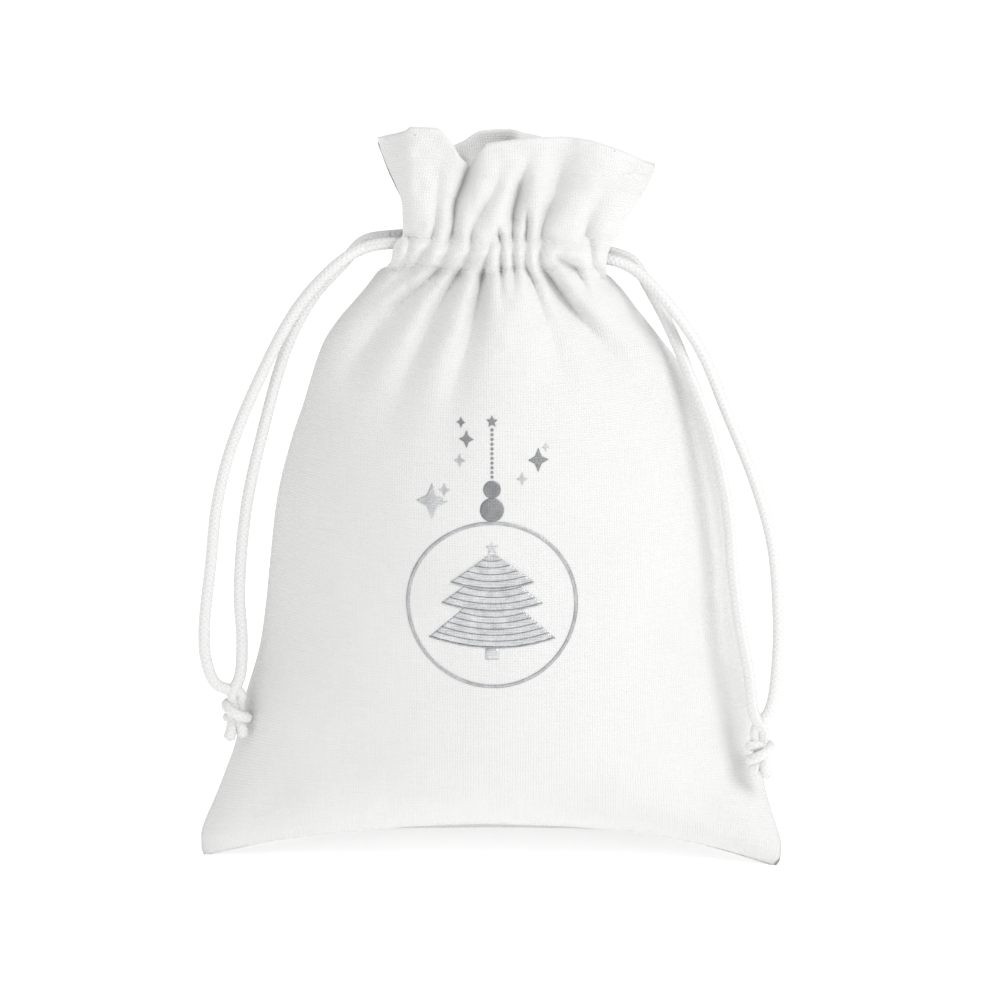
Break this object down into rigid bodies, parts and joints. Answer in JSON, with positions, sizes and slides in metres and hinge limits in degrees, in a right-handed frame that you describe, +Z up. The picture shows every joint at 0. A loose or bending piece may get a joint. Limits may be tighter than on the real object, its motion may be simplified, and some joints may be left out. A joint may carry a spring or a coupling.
{
  "type": "drawstring gift pouch",
  "caption": "Filled cotton gift pouch with a gathered neck, a ruffle, cord loops knotted at both sides and a silver foil bauble print.",
  "frame": {"origin": "on the floor under the middle of the pouch's bounding box", "axes": "+Z up through the neck, the printed front faces -Y, +X to the right seen from the front"},
  "size_m": [0.1506, 0.0694, 0.19],
  "materials": {
    "canvas": "plain-weave cotton, matt",
    "thread": "white sewing thread",
    "cord": "white satin cord, soft sheen",
    "overlock": "overlocked cotton edges",
    "foil": "silver foil print on the weave"
  },
  "bodies": {
    "pouch": {"front_panel": "canvas", "back_panel": "canvas", "left_cord_return": "cord", "right_cord_return": "cord", "left_seam_overlock": "overlock", "right_seam_overlock": "overlock", "bottom_seam_overlock": "overlock", "foil_bauble": "foil", "foil_cap": "foil", "foil_chain": "foil", "foil_tree": "foil", "foil_sparkles": "foil"},
    "front_neck": {"front_neck_cloth": "canvas", "front_upper_stitches": "thread", "front_lower_stitches": "thread", "left_cord_front_run": "cord", "right_cord_front_run": "cord"},
    "back_neck": {"back_neck_cloth": "canvas", "back_upper_stitches": "thread", "back_lower_stitches": "thread", "left_cord_back_run": "cord", "right_cord_back_run": "cord"},
    "left_lead": {"left_cord_lead": "cord"},
    "left_loop": {"left_cord_loop": "cord"},
    "right_lead": {"right_cord_lead": "cord"},
    "right_loop": {"right_cord_loop": "cord"}
  },
  "joints": [
    {"name": "front_mouth_open", "type": "slide", "parent": "pouch", "child": "front_neck", "axis": [0, -1, 0], "range_m": [0, 0.01]},
    {"name": "back_mouth_open", "type": "slide", "parent": "pouch", "child": "back_neck", "axis": [0, 1, 0], "range_m": [0, 0.01]},
    {"name": "left_draw", "type": "slide", "parent": "pouch", "child": "left_lead", "axis": [-0.9397, 0, -0.342], "range_m": [0, 0.008]},
    {"name": "left_swing", "type": "hinge", "parent": "left_lead", "child": "left_loop", "pos_m": [-0.0327, 0.00015, 0.15899], "axis": [0, 1, 0], "range_deg": [0, 65]},
    {"name": "right_draw", "type": "slide", "parent": "pouch", "child": "right_lead", "axis": [0.809, 0, -0.5878], "range_m": [0, 0.008]},
    {"name": "right_swing", "type": "hinge", "parent": "right_lead", "child": "right_loop", "pos_m": [0.03516, 0.00015, 0.15359], "axis": [0, -1, 0], "range_deg": [0, 65]}
  ],
  "couplings": [
    {"joint": "back_mouth_open", "follows": "front_mouth_open", "ratio": 1}
  ]
}
